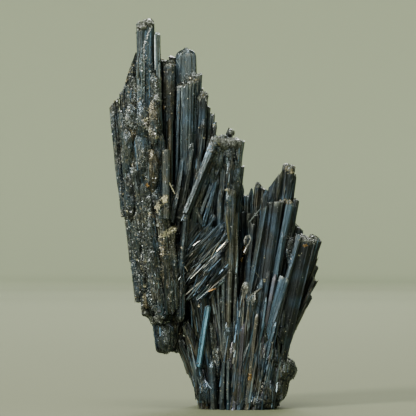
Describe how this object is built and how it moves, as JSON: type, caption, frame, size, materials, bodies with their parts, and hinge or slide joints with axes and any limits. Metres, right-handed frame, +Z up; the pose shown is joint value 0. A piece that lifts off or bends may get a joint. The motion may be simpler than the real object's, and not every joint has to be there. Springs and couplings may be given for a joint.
{
  "type": "crystal cluster",
  "caption": "Stibnite crystal cluster: metallic blue-grey blades, grown together in leaning sprays that fan up from a narrow foot cut flat to stand on.",
  "frame": {"origin": "on the flat cut of the foot, between the middle of its width and the middle of its depth", "axes": "+Z up from the cut foot along the crystals, +X to the right as seen in the picture, +Y away from the viewer"},
  "size_m": [0.0423, 0.0203, 0.0776],
  "materials": {
    "stibnite": "metallic, striated, dusty"
  },
  "bodies": {
    "root": {"crystal_cluster": "stibnite"}
  },
  "joints": []
}
